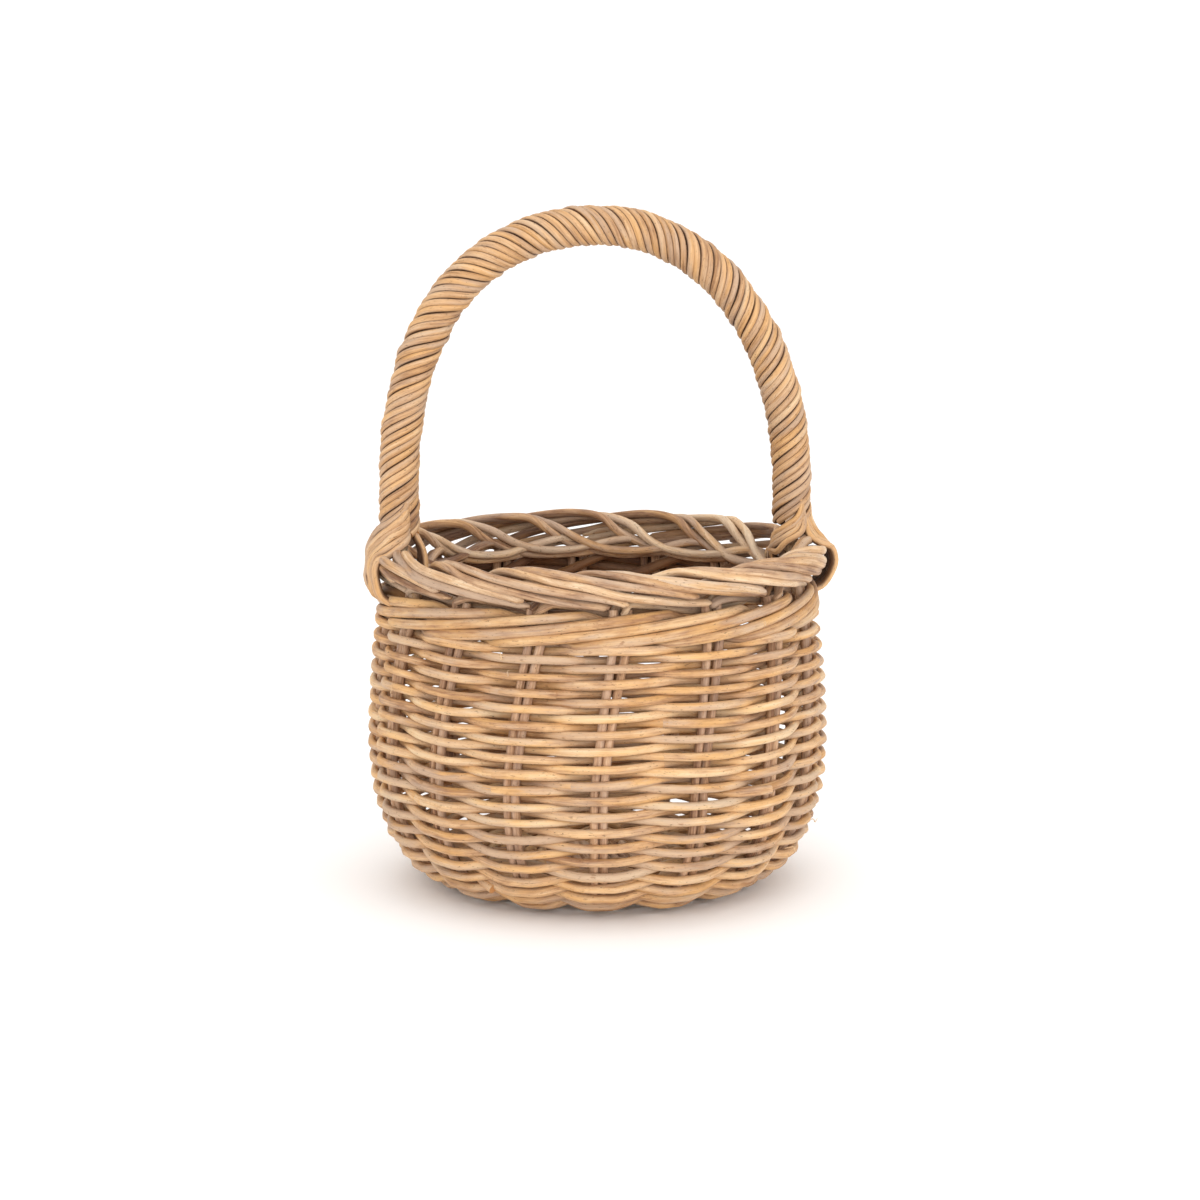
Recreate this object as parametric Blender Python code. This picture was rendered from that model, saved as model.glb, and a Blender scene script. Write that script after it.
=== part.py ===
"""Woven rattan fruit basket with a fixed bow handle, one object per separate piece, in metres, +Z up."""

import math

import bmesh
import bpy
from mathutils import Vector

MM = 0.001

# Overall sizes
BODY_RADIUS = 101.2 * MM
BASE_RADIUS = 57 * MM
BELLY_HEIGHT = 65 * MM
RIM_HEIGHT = 151.3 * MM
BORDER_DEPTH = 18.3 * MM
WALE_DEPTH = 15 * MM
RIM_INSET = 4.4 * MM
BELLY_FULLNESS = 2.4
BOW_RISE = 145.2 * MM
BOW_INSET = 13.7 * MM
# the bow is bent by hand, and its left shoulder stands out further than its right
LEFT_SHOULDER = 4.9 * MM
RIGHT_SHOULDER = 1.3 * MM

# Cane and gaps
STAKE_RADIUS = 1.95 * MM
PAIR_GAP = 1.3 * MM
CROSS_GAP = 0.3 * MM
WEAVE_THICK = 3.0 * MM
GAP = 0.35 * MM
END_GAP = 0.2 * MM

# Half widths and half heights of the border rolls
OUTER_ROLL = (2.9 * MM, 5.0 * MM)
TOP_ROLL = (3.9 * MM, 3.6 * MM)
INNER_ROLL = (2.7 * MM, 3.5 * MM)

# Counts
PAIRS = 16
LOWER_BANDS = 5
RING_SIDES = 48

# Handle
CORE_RADIUS = 5.5 * MM
CORE_FOOT_RADIUS = 2.5 * MM
CORE_END_RADIUS = 2.0 * MM
WRAP_RADIUS = 8.7 * MM
WRAP_CLEARANCE = 5.2 * MM
LEG_LENGTH = 14.5 * MM
LASHING_HALF_WIDTH = 9 * MM

# Worked out from the sizes above
WALE_END = RIM_HEIGHT - BORDER_DEPTH
WALE_START = WALE_END - WALE_DEPTH
WRAP_FOOT = RIM_HEIGHT + WRAP_CLEARANCE
LEG_TOP = WRAP_FOOT + LEG_LENGTH
HANDLE_HEIGHT = RIM_HEIGHT + BOW_RISE
HANDLE_HALF_SPAN = BODY_RADIUS - BOW_INSET
PAIR_OFFSET = STAKE_RADIUS + PAIR_GAP / 2
CROSS_PITCH = STAKE_RADIUS * 2 + CROSS_GAP
WEAVE_OFFSET = STAKE_RADIUS + GAP + WEAVE_THICK / 2
WALL_HALF = WEAVE_OFFSET + WEAVE_THICK / 2 + 0.1 * MM
FLAT_HALF = PAIR_OFFSET + STAKE_RADIUS + 0.95 * MM
MID_BELLY = BODY_RADIUS - WALL_HALF
PAIR_STEP = 2 * math.pi / PAIRS
CROSS_HALF = CROSS_PITCH * PAIRS / 4
ROLL_BOTTOM = RIM_HEIGHT - TOP_ROLL[1] * 2 + 0.4 * MM

CANE = (0.62, 0.38, 0.19, 1)
STAKE = (0.46, 0.29, 0.17, 1)
CORE = (0.66, 0.46, 0.27, 1)


def material(name, colour):
    made = bpy.data.materials.new(name)
    made.use_nodes = True
    shader = made.node_tree.nodes["Principled BSDF"]
    shader.inputs["Base Color"].default_value = colour
    shader.inputs["Roughness"].default_value = 0.6
    return made


def object_from(name, mesh, colour):
    made = bpy.data.objects.new(name, mesh)
    mesh.materials.append(material(name + "_cane", colour))
    bpy.context.scene.collection.objects.link(made)
    return made


def mesh_from_columns(name, columns, colour, closed):
    """Skins equal columns of corner points into one closed body, round a loop or with capped ends."""
    shape = bmesh.new()
    grid = [[shape.verts.new(point) for point in column] for column in columns]
    count = len(grid)
    corners = len(grid[0])
    for i in range(count if closed else count - 1):
        for j in range(corners):
            here = grid[i]
            there = grid[(i + 1) % count]
            k = (j + 1) % corners
            shape.faces.new((here[j], here[k], there[k], there[j]))
    if not closed:
        shape.faces.new(grid[0])
        shape.faces.new(list(reversed(grid[-1])))
    bmesh.ops.recalc_face_normals(shape, faces=shape.faces)
    mesh = bpy.data.meshes.new(name)
    shape.to_mesh(mesh)
    shape.free()
    mesh.shade_smooth()
    return object_from(name, mesh, colour)


def taper(z):
    """Middle of the wall above the belly, drawn in a little towards the rim."""
    rise = (z - BELLY_HEIGHT) / (WALE_START - BELLY_HEIGHT + 4 * MM)
    return MID_BELLY - RIM_INSET * rise * rise


def wall_path():
    """Corners of the wall's middle line, as (radius, height), from the edge of the base to the stake tops."""
    reach = MID_BELLY - BASE_RADIUS
    drop = BELLY_HEIGHT - WALL_HALF
    fine = []
    for i in range(401):
        turn = math.pi / 2 * i / 400
        out = math.sin(turn) ** (2 / BELLY_FULLNESS)
        down = math.cos(turn) ** (2 / BELLY_FULLNESS) if i < 400 else 0
        fine.append(Vector((BASE_RADIUS + reach * out, BELLY_HEIGHT - drop * down)))
    run = [0.0]
    for a, b in zip(fine, fine[1:]):
        run.append(run[-1] + (b - a).length)
    corners = []
    for step in range(LOWER_BANDS + 1):
        wanted = run[-1] * step / LOWER_BANDS
        nearest = min(range(401), key=lambda i: abs(run[i] - wanted))
        corners.append(fine[nearest])
    for z in ((BELLY_HEIGHT + WALE_START) / 2, WALE_START, ROLL_BOTTOM - GAP):
        corners.append(Vector((taper(z), z)))
    return corners


def mitre(before, after):
    """Outward offset of length one at a corner between two directions."""
    joint = (Vector((before.y, -before.x)) + Vector((after.y, -after.x))).normalized()
    return joint / joint.dot(Vector((after.y, -after.x)))


def directions(path):
    found = [Vector((1, 0))]
    for a, b in zip(path, path[1:]):
        found.append((b - a).normalized())
    return found


def around(point, angle, side):
    """A profile point (radius, height) placed at an angle, moved sideways from the radial plane."""
    return (
        point.x * math.cos(angle) - side * math.sin(angle),
        point.x * math.sin(angle) + side * math.cos(angle),
        point.y,
    )


def pair_angle(index):
    return PAIR_STEP * (index + 0.5)


def woven_ring(name, low, high, low_mitre, high_mitre, along, pattern):
    """A band of weaving that passes outside the pairs marked 1 and inside those marked -1."""
    def section(side):
        inner = side * WEAVE_OFFSET - WEAVE_THICK / 2
        outer = side * WEAVE_OFFSET + WEAVE_THICK / 2
        start = low + along * END_GAP
        end = high - along * END_GAP
        return [
            start + low_mitre * inner,
            start + low_mitre * outer,
            end + high_mitre * outer,
            end + high_mitre * inner,
        ]

    columns = []
    for index in range(PAIRS):
        angle = pair_angle(index)
        corners = section(pattern[index])
        columns.append([around(point, angle, -FLAT_HALF) for point in corners])
        columns.append([around(point, angle, FLAT_HALF) for point in corners])
        following = pattern[(index + 1) % PAIRS]
        if following == pattern[index]:
            columns.append([around(point, angle + PAIR_STEP / 2, 0) for point in corners])
    return mesh_from_columns(name, columns, CANE, True)


def ellipse_ring(name, centre, halves, colour):
    columns = []
    for i in range(RING_SIDES):
        angle = 2 * math.pi * i / RING_SIDES
        column = []
        for j in range(8):
            turn = 2 * math.pi * (j + 0.5) / 8
            reach = centre.x + halves[0] * math.cos(turn)
            height = centre.y + halves[1] * math.sin(turn)
            column.append(around(Vector((reach, height)), angle, 0))
        columns.append(column)
    return mesh_from_columns(name, columns, colour, True)


def flat_ring(name, inner_bottom, outer_bottom, outer_top, inner_top):
    columns = []
    for i in range(RING_SIDES):
        angle = 2 * math.pi * i / RING_SIDES
        corners = (inner_bottom, outer_bottom, outer_top, inner_top)
        columns.append([around(corner, angle, 0) for corner in corners])
    return mesh_from_columns(name, columns, CANE, True)


def rod(name, points, radii, resolution, colour):
    """A solid rod along points, with its own radius at each."""
    curve = bpy.data.curves.new(name, "CURVE")
    curve.dimensions = "3D"
    curve.bevel_depth = 1.0
    curve.bevel_resolution = resolution
    curve.use_fill_caps = True
    spline = curve.splines.new("POLY")
    spline.points.add(len(points) - 1)
    for place, point, radius in zip(spline.points, points, radii):
        place.co = (point[0], point[1], point[2], 1)
        place.radius = radius
    return object_from(name, curve, colour)


def stake_half(path, pair, side, crossing, upper):
    """One arm of a stake, from the cross at the middle of the base to its top, along +X or +Y."""
    angle = pair_angle(pair)
    floor = path[0].y
    lift = floor + STAKE_RADIUS * 2 + GAP * 0.8
    edge = around(path[0], angle, side)
    turned_by = math.pi / 2 - angle if upper else angle
    bend = CROSS_HALF + 4.7 * MM - crossing * math.tan(turned_by / 2)
    if upper:
        start = (crossing, bend, lift)
        share = 0.3
        landing = (
            start[0] + (edge[0] - start[0]) * share,
            start[1] + (edge[1] - start[1]) * share,
            floor,
        )
        points = [start, landing]
    else:
        points = [(bend, crossing, floor)]
    for corner in path:
        points.append(around(corner, angle, side))
    return points


def turned_half(points, flip_x, flip_y):
    return [(flip_x * x, flip_y * y, z) for x, y, z in points]


def build_stakes(path):
    """Sixteen long stakes: eight along X under eight along Y, each turned up at both ends."""
    half = PAIRS // 4
    for number in range(half):
        crossing = CROSS_PITCH * (number + 0.5)
        pair = number // 2
        side = PAIR_OFFSET * (1 if number % 2 else -1)
        along_x = stake_half(path, pair, side, crossing, False)
        along_y = stake_half(path, half - 1 - pair, -side, crossing, True)
        for label, flip in (("a", 1), ("b", -1)):
            points = list(reversed(turned_half(along_x, -1, flip))) + turned_half(along_x, 1, flip)
            rod(f"stake_x_{number + 1}{label}", points, [STAKE_RADIUS] * len(points), 1, STAKE)
            points = list(reversed(turned_half(along_y, flip, -1))) + turned_half(along_y, flip, 1)
            rod(f"stake_y_{number + 1}{label}", points, [STAKE_RADIUS] * len(points), 1, STAKE)


def build_base(path, ways):
    """The rounds of base weaving, as the passes under the stakes and the passes over them."""
    joint = mitre(ways[0], ways[1])
    inner = WEAVE_OFFSET - WEAVE_THICK / 2
    edge = path[0] - ways[0] * END_GAP
    low = edge + joint * WALL_HALF
    high = edge + joint * inner
    start = CROSS_HALF + 3 * MM
    flat_ring("base_weave_under", Vector((start, low.y)), low, high, Vector((start, high.y)))
    low = edge - joint * inner
    high = edge - joint * WALL_HALF
    start = CROSS_HALF * 2 + 1 * MM
    flat_ring("base_weave_over", Vector((start, low.y)), low, high, Vector((start, high.y)))


def build_wall(path, ways):
    """Bands of plain weaving up to the wale, then the two rounds of waling."""
    joints = [mitre(ways[i], ways[min(i + 1, len(ways) - 1)]) for i in range(len(path))]
    bands = []
    for i in range(LOWER_BANDS):
        bands.append((path[i], path[i + 1], joints[i], joints[i + 1], ways[i + 1]))
    for i in (LOWER_BANDS, LOWER_BANDS + 1):
        middle = (path[i] + path[i + 1]) / 2
        straight = mitre(ways[i + 1], ways[i + 1])
        bands.append((path[i], middle, joints[i], straight, ways[i + 1]))
        bands.append((middle, path[i + 1], straight, joints[i + 1], ways[i + 1]))
    for number, (low, high, low_joint, high_joint, along) in enumerate(bands):
        pattern = [1 if (index + number) % 2 else -1 for index in range(PAIRS)]
        woven_ring(f"wall_weave_{number + 1:02d}", low, high, low_joint, high_joint, along, pattern)
    start = path[-2]
    along = ways[-1]
    straight = mitre(along, along)
    length = (WALE_END - WALE_START) / along.y
    for number, skipped in enumerate((2, 1)):
        low = start + along * (length * number / 2)
        high = start + along * (length * (number + 1) / 2)
        pattern = [-1 if index % 4 == skipped else 1 for index in range(PAIRS)]
        low_joint = joints[-2] if number == 0 else straight
        woven_ring(f"top_wale_{number + 1}", low, high, low_joint, straight, along, pattern)


def roll_centres(path):
    """Middles of the border's outer, top and inner rolls, as (radius, height)."""
    top = Vector((path[-1].x + 0.8 * MM, RIM_HEIGHT - TOP_ROLL[1] + 0.2 * MM))
    outer = Vector((top.x + TOP_ROLL[0] + OUTER_ROLL[0] + GAP, RIM_HEIGHT - OUTER_ROLL[1] - 1.5 * MM))
    height = WALE_END + INNER_ROLL[1] + GAP
    inner = Vector((taper(height) - STAKE_RADIUS - GAP - INNER_ROLL[0], height))
    return outer, top, inner


def build_border(path):
    """The stake ends turned down into a rolled border: an outer, a top and an inner roll."""
    outer, top, inner = roll_centres(path)
    ellipse_ring("border_outer_roll", outer, OUTER_ROLL, CANE)
    top_roll = ellipse_ring("border_top_roll", top, TOP_ROLL, CANE)
    ellipse_ring("border_inner_roll", inner, INNER_ROLL, CANE)
    for label, side in (("left", -1), ("right", 1)):
        shape = bmesh.new()
        bmesh.ops.create_cone(
            shape,
            cap_ends=True,
            segments=12,
            radius1=CORE_FOOT_RADIUS + GAP,
            radius2=CORE_FOOT_RADIUS + GAP,
            depth=20 * MM,
        )
        bmesh.ops.translate(shape, verts=shape.verts, vec=(side * core_foot(path), 0, RIM_HEIGHT))
        mesh = bpy.data.meshes.new(f"core_hole_{label}")
        shape.to_mesh(mesh)
        shape.free()
        cutter = bpy.data.objects.new(f"core_hole_{label}", mesh)
        bpy.context.scene.collection.objects.link(cutter)
        cutter.hide_render = True
        cutter.display_type = "WIRE"
        hole = top_roll.modifiers.new(f"core hole {label}", "BOOLEAN")
        hole.operation = "DIFFERENCE"
        hole.solver = "EXACT"
        hole.object = cutter


def core_foot(path):
    return path[-1].x - 1.0 * MM


def bow_path():
    """Centre line of the bow above the wrap's foot: straight legs, half an ellipse, two bent shoulders."""
    points = [Vector((-HANDLE_HALF_SPAN, 0, WRAP_FOOT))]
    rise = HANDLE_HEIGHT - WRAP_RADIUS - LEG_TOP
    steps = 20
    for i in range(steps + 1):
        turn = math.pi * i / steps
        shoulder = LEFT_SHOULDER if turn < math.pi / 2 else RIGHT_SHOULDER
        push = shoulder * math.sin(2 * turn) ** 2
        across = -(HANDLE_HALF_SPAN + push) * math.cos(turn)
        points.append(Vector((across, 0, LEG_TOP + (rise + push) * math.sin(turn))))
    points.append(Vector((HANDLE_HALF_SPAN, 0, WRAP_FOOT)))
    return points


def sleeve(name, bow, first, last):
    """A hollow length of wrap round the core, from one point of the bow to another."""
    columns = []
    sides = 12
    for radius in (WRAP_RADIUS, CORE_RADIUS + GAP + 0.2 * MM):
        ring = []
        for i in range(first, last + 1):
            before = bow[max(i - 1, 0)]
            after = bow[min(i + 1, len(bow) - 1)]
            along = (after - before).normalized()
            across = Vector((along.z, 0, -along.x))
            centre = bow[i] + along * (GAP if i == first and first else 0)
            column = []
            for j in range(sides):
                turn = 2 * math.pi * j / sides
                spoke = across * math.cos(turn) + Vector((0, 1, 0)) * math.sin(turn)
                column.append(centre + spoke * radius)
            ring.append(column)
        columns += ring if radius == WRAP_RADIUS else ring[::-1]
    return mesh_from_columns(name, columns, CANE, True)


def build_handle(path):
    bow = bow_path()
    foot = core_foot(path)
    below = []
    for z in (WALE_START + 1.5 * MM, WALE_END, WALE_END + 4 * MM, WALE_END + 7 * MM):
        below.append(Vector((-max(taper(z), foot), 0, z)))
    below.append(Vector((-foot, 0, ROLL_BOTTOM)))
    below.append(Vector((-foot, 0, RIM_HEIGHT + 0.3 * MM)))
    radii = [CORE_END_RADIUS] * 4 + [CORE_FOOT_RADIUS] * 2
    mirrored = [Vector((-point.x, 0, point.z)) for point in reversed(below)]
    points = below + bow + mirrored
    rod("handle_core", points, radii + [CORE_RADIUS] * len(bow) + radii[::-1], 2, CORE)
    sleeve("handle_wrap_left", bow, 0, 7)
    sleeve("handle_wrap_crown", bow, 7, 15)
    sleeve("handle_wrap_right", bow, 15, len(bow) - 1)


def lashing(name, line, side):
    """A bundle of wrap ends carried over the border, as a bent plate of the strands' thickness."""
    half = WEAVE_THICK / 2
    columns = []
    for y in (-LASHING_HALF_WIDTH, LASHING_HALF_WIDTH):
        left = []
        right = []
        for i, point in enumerate(line):
            before = (point - line[i - 1]).normalized() if i else (line[1] - line[0]).normalized()
            after = (line[i + 1] - point).normalized() if i + 1 < len(line) else before
            joint = mitre(before, after)
            left.append(point + joint * half)
            right.append(point - joint * half)
        outline = left + right[::-1]
        columns.append([(side * point.x, y, point.y) for point in outline])
    return mesh_from_columns(name, columns, CANE, False)


def build_lashings(path):
    outer_roll, _, inner_roll = roll_centres(path)
    outer = outer_roll.x + OUTER_ROLL[0] + GAP + WEAVE_THICK / 2
    reach = inner_roll.x - INNER_ROLL[0]
    reach = math.sqrt(reach * reach - LASHING_HALF_WIDTH * LASHING_HALF_WIDTH)
    inner = reach - GAP - WEAVE_THICK / 2
    foot = WRAP_FOOT - WEAVE_THICK / 2 - 0.1 * MM
    outside = [
        Vector((HANDLE_HALF_SPAN + WRAP_RADIUS - 1.9 * MM, foot)),
        Vector((outer, RIM_HEIGHT - 0.5 * MM)),
        Vector((outer, WALE_END + 8 * MM)),
        Vector((outer - 3.6 * MM, WALE_END + 2.4 * MM)),
    ]
    inside = [
        Vector((HANDLE_HALF_SPAN - WRAP_RADIUS + 1.6 * MM, foot)),
        Vector((inner, RIM_HEIGHT - 0.5 * MM)),
        Vector((inner, WALE_END + 1.5 * MM)),
        Vector((inner + 1.8 * MM, WALE_END - 2.5 * MM)),
    ]
    for label, side in (("left", -1), ("right", 1)):
        lashing(f"foot_lashing_outer_{label}", outside, side)
        lashing(f"foot_lashing_inner_{label}", inside, side)


for leftover in list(bpy.data.objects):
    bpy.data.objects.remove(leftover, do_unlink=True)

wall = wall_path()
wall_ways = directions(wall)
build_stakes(wall)
build_base(wall, wall_ways)
build_wall(wall, wall_ways)
build_border(wall)
build_handle(wall)
build_lashings(wall)
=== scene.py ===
import math

import bpy
import numpy as np
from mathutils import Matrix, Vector


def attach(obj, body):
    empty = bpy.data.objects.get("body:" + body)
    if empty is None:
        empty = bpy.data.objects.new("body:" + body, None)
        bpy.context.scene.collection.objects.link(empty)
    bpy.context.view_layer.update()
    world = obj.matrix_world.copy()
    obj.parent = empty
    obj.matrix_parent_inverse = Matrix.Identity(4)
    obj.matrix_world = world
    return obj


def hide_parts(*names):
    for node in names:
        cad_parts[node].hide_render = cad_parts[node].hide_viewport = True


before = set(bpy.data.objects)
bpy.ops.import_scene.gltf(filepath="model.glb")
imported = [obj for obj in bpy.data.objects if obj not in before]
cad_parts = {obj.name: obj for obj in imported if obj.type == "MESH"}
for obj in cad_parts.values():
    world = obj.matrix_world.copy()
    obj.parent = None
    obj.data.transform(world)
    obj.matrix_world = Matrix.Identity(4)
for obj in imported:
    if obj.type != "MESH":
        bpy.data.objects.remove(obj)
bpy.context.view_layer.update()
mm = 0.001
rng = np.random.default_rng(27)

# The wall's middle surface, where the stakes run. The weavers pass outside and inside it.
wall = {
    "baseRadius": 57 * mm,
    "bellyRadius": 95.8 * mm,
    "fullness": 2.33,
    "floorHeight": 5.9 * mm,
    "bellyHeight": 65 * mm,
    "rimInset": 4.4 * mm,
    "taperRun": 57 * mm,
    "waleHeight": 119.5 * mm,
    "topHeight": 135 * mm,
    "spareHeight": 20 * mm,
    "pairs": 16,
    "settleFrom": 25 * mm,
    "settleRun": 30 * mm,
    "untidiness": 0.008,
    "lean": 0.1,
    "leanPower": 1.3,
    "leanFrom": 58 * mm,
    "leanTo": 122 * mm,
    "astray": {9: -0.015, 12: 0.05, 13: 0.055, 14: 0.03},
}
pairStep = 2 * math.pi / wall["pairs"]
# no pair stands quite in its place, and a few stand well off it
pairShift = rng.normal(size=wall["pairs"]) * wall["untidiness"]
for pair, shift in wall["astray"].items():
    pairShift[pair] = shift


def wallProfile():
    # run, radius and height at close steps, from the edge of the flat base to above the border
    turn = np.linspace(0, math.pi / 2, 900)
    power = 2 / wall["fullness"]
    radius = wall["baseRadius"] + (wall["bellyRadius"] - wall["baseRadius"]) * np.sin(turn) ** power
    depth = wall["bellyHeight"] - wall["floorHeight"]
    height = wall["bellyHeight"] - depth * np.abs(np.cos(turn)) ** power
    up = np.linspace(wall["bellyHeight"], wall["topHeight"] + wall["spareHeight"], 500)[1:]
    drawnIn = wall["rimInset"] * ((up - wall["bellyHeight"]) / wall["taperRun"]) ** 2
    radius = np.concatenate([radius, wall["bellyRadius"] - drawnIn])
    height = np.concatenate([height, up])
    run = np.concatenate([[0], np.cumsum(np.hypot(np.diff(radius), np.diff(height)))])
    return run, radius, height


profileRun, profileRadius, profileHeight = wallProfile()
runAtWale = float(np.interp(wall["waleHeight"], profileHeight, profileRun))
runAtTop = float(np.interp(wall["topHeight"], profileHeight, profileRun))


def onWall(run, offset):
    # a point of the wall that far along its profile, moved outward; negative runs lie on the flat base
    run = np.asarray(run, float)
    near = 1.5 * mm

    def place(at):
        radius = np.where(at < 0, wall["baseRadius"] + at, np.interp(at, profileRun, profileRadius))
        return radius, np.interp(at, profileRun, profileHeight)

    radius, height = place(run)
    radiusAhead, heightAhead = place(run + near)
    radiusBehind, heightBehind = place(run - near)
    slopeR = radiusAhead - radiusBehind
    slopeZ = heightAhead - heightBehind
    size = np.hypot(slopeR, slopeZ)
    return radius + offset * slopeZ / size, height - offset * slopeR / size


def leanAt(height):
    # the pairs lean over a little as they climb, all the same way round
    share = (np.asarray(height, float) - wall["leanFrom"]) / (wall["leanTo"] - wall["leanFrom"])
    return wall["lean"] * np.clip(share, 0, 1) ** wall["leanPower"]


def shiftAt(turns):
    # how far the pairs near this angle are off their even places
    places = pairStep * (np.arange(-1, wall["pairs"] + 1) + 0.5)
    shifts = np.concatenate([pairShift[-1:], pairShift, pairShift[:1]])
    return np.interp(np.mod(turns, 2 * math.pi), places, shifts)


def turnToPairs(points):
    # moves a stake from its even place to its real one, leaning as it climbs
    turns = np.arctan2(points[:, 1], points[:, 0])
    radius = np.hypot(points[:, 0], points[:, 1])
    settled = np.clip((radius - wall["settleFrom"]) / wall["settleRun"], 0, 1)
    turns = turns + leanAt(points[:, 2]) + shiftAt(turns) * settled
    return ringPoints(turns, radius, points[:, 2])


def slowWave(turns, size, low=1, high=4):
    # a gentle random wave that closes on itself after one turn
    value = np.zeros_like(turns)
    for beat in range(low, high + 1):
        value += rng.normal() * np.sin(beat * turns + rng.uniform(0, 2 * math.pi)) / math.sqrt(beat)
    return value * size


def smoothRun(points, step=1.5 * mm):
    # a smooth curve through a few set points (Catmull-Rom), with points at an even spacing
    points = np.asarray(points, float)
    ends = np.vstack([2 * points[0] - points[1], points, 2 * points[-1] - points[-2]])
    t = np.linspace(0, 1, 24, endpoint=False)[:, None]
    fine = []
    for a, b, c, d in zip(ends, ends[1:], ends[2:], ends[3:]):
        fine.append(0.5 * (2 * b + (c - a) * t + (2 * a - 5 * b + 4 * c - d) * t ** 2
                           + (3 * b - a - 3 * c + d) * t ** 3))
    fine = np.vstack(fine + [points[-1:]])
    run = np.concatenate([[0], np.cumsum(np.linalg.norm(np.diff(fine, axis=0), axis=1))])
    wanted = np.linspace(0, run[-1], max(int(run[-1] / step), 4))
    return np.stack([np.interp(wanted, run, fine[:, axis]) for axis in range(fine.shape[1])], axis=1)


def ringPoints(turns, radius, height):
    return np.stack([radius * np.cos(turns), radius * np.sin(turns), height], axis=1)


def sectionFrames(points):
    # two directions across each point, carried along the strand without twisting
    along = np.gradient(points, axis=0)
    along /= np.linalg.norm(along, axis=1)[:, None] + 1e-12
    # a direction that few canes start along, and another for those that do
    first = np.cross(along[0], (0.31, 0.17, 0.93))
    if np.linalg.norm(first) < 0.2:
        first = np.cross(along[0], (1, 0, 0))
    across = np.empty_like(points)
    across[0] = first / np.linalg.norm(first)
    for i in range(1, len(points)):
        step = across[i - 1] - along[i] * np.dot(across[i - 1], along[i])
        across[i] = step / np.linalg.norm(step)
    return across, np.cross(along, across)


def strand(points, radius, tone=None, taper=(1.0, 1.0), paintedShade=0.0, taperRun=4 * mm, cuts=(1.0, 1.0)):
    # one cane: its path, its thickness along the way, its own tone, how raw each end looks (cuts), how much
    # shade is painted on it where it lies deep in the weave or in a groove, and where along the rattan's
    # pattern it starts
    count = len(points)
    spread = np.linspace(0, 1, count)
    thick = radius * (1 + slowWave(spread * 9, 0.012, 2, 7))
    endRun = max(int(taperRun / (np.linalg.norm(points[1] - points[0]) + 1e-9)), 1)
    for end, share in enumerate(taper):
        if share < 1:
            ramp = np.ones(count)
            ramp[:endRun] = np.linspace(share, 1, endRun)
            thick = thick * (ramp if end == 0 else ramp[::-1])
    return {
        "points": points,
        "thick": thick,
        "tone": rng.uniform(0, 1) if tone is None else tone,
        "cuts": cuts,
        "paintedShade": np.broadcast_to(paintedShade, (count,)),
        "start": rng.uniform(0, 40),
    }


def outwardFrames(points, middle):
    # two directions across each point, the first of them pointing away from a middle line
    along = np.gradient(points, axis=0)
    along /= np.linalg.norm(along, axis=1)[:, None]
    outward = points - middle
    outward -= along * np.sum(outward * along, axis=1)[:, None]
    outward /= np.linalg.norm(outward, axis=1)[:, None]
    return outward, np.cross(along, outward)


def paintedGrooveShade(count, sides, start, depth):
    # painted shade: none on the face that looks outward, rising to full in the grooves beside it, where
    # shade falls
    facing = np.cos(np.linspace(0, 2 * math.pi, sides, endpoint=False))
    return np.broadcast_to(np.clip((start - facing) / depth, 0, 1), (count, sides))


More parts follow.
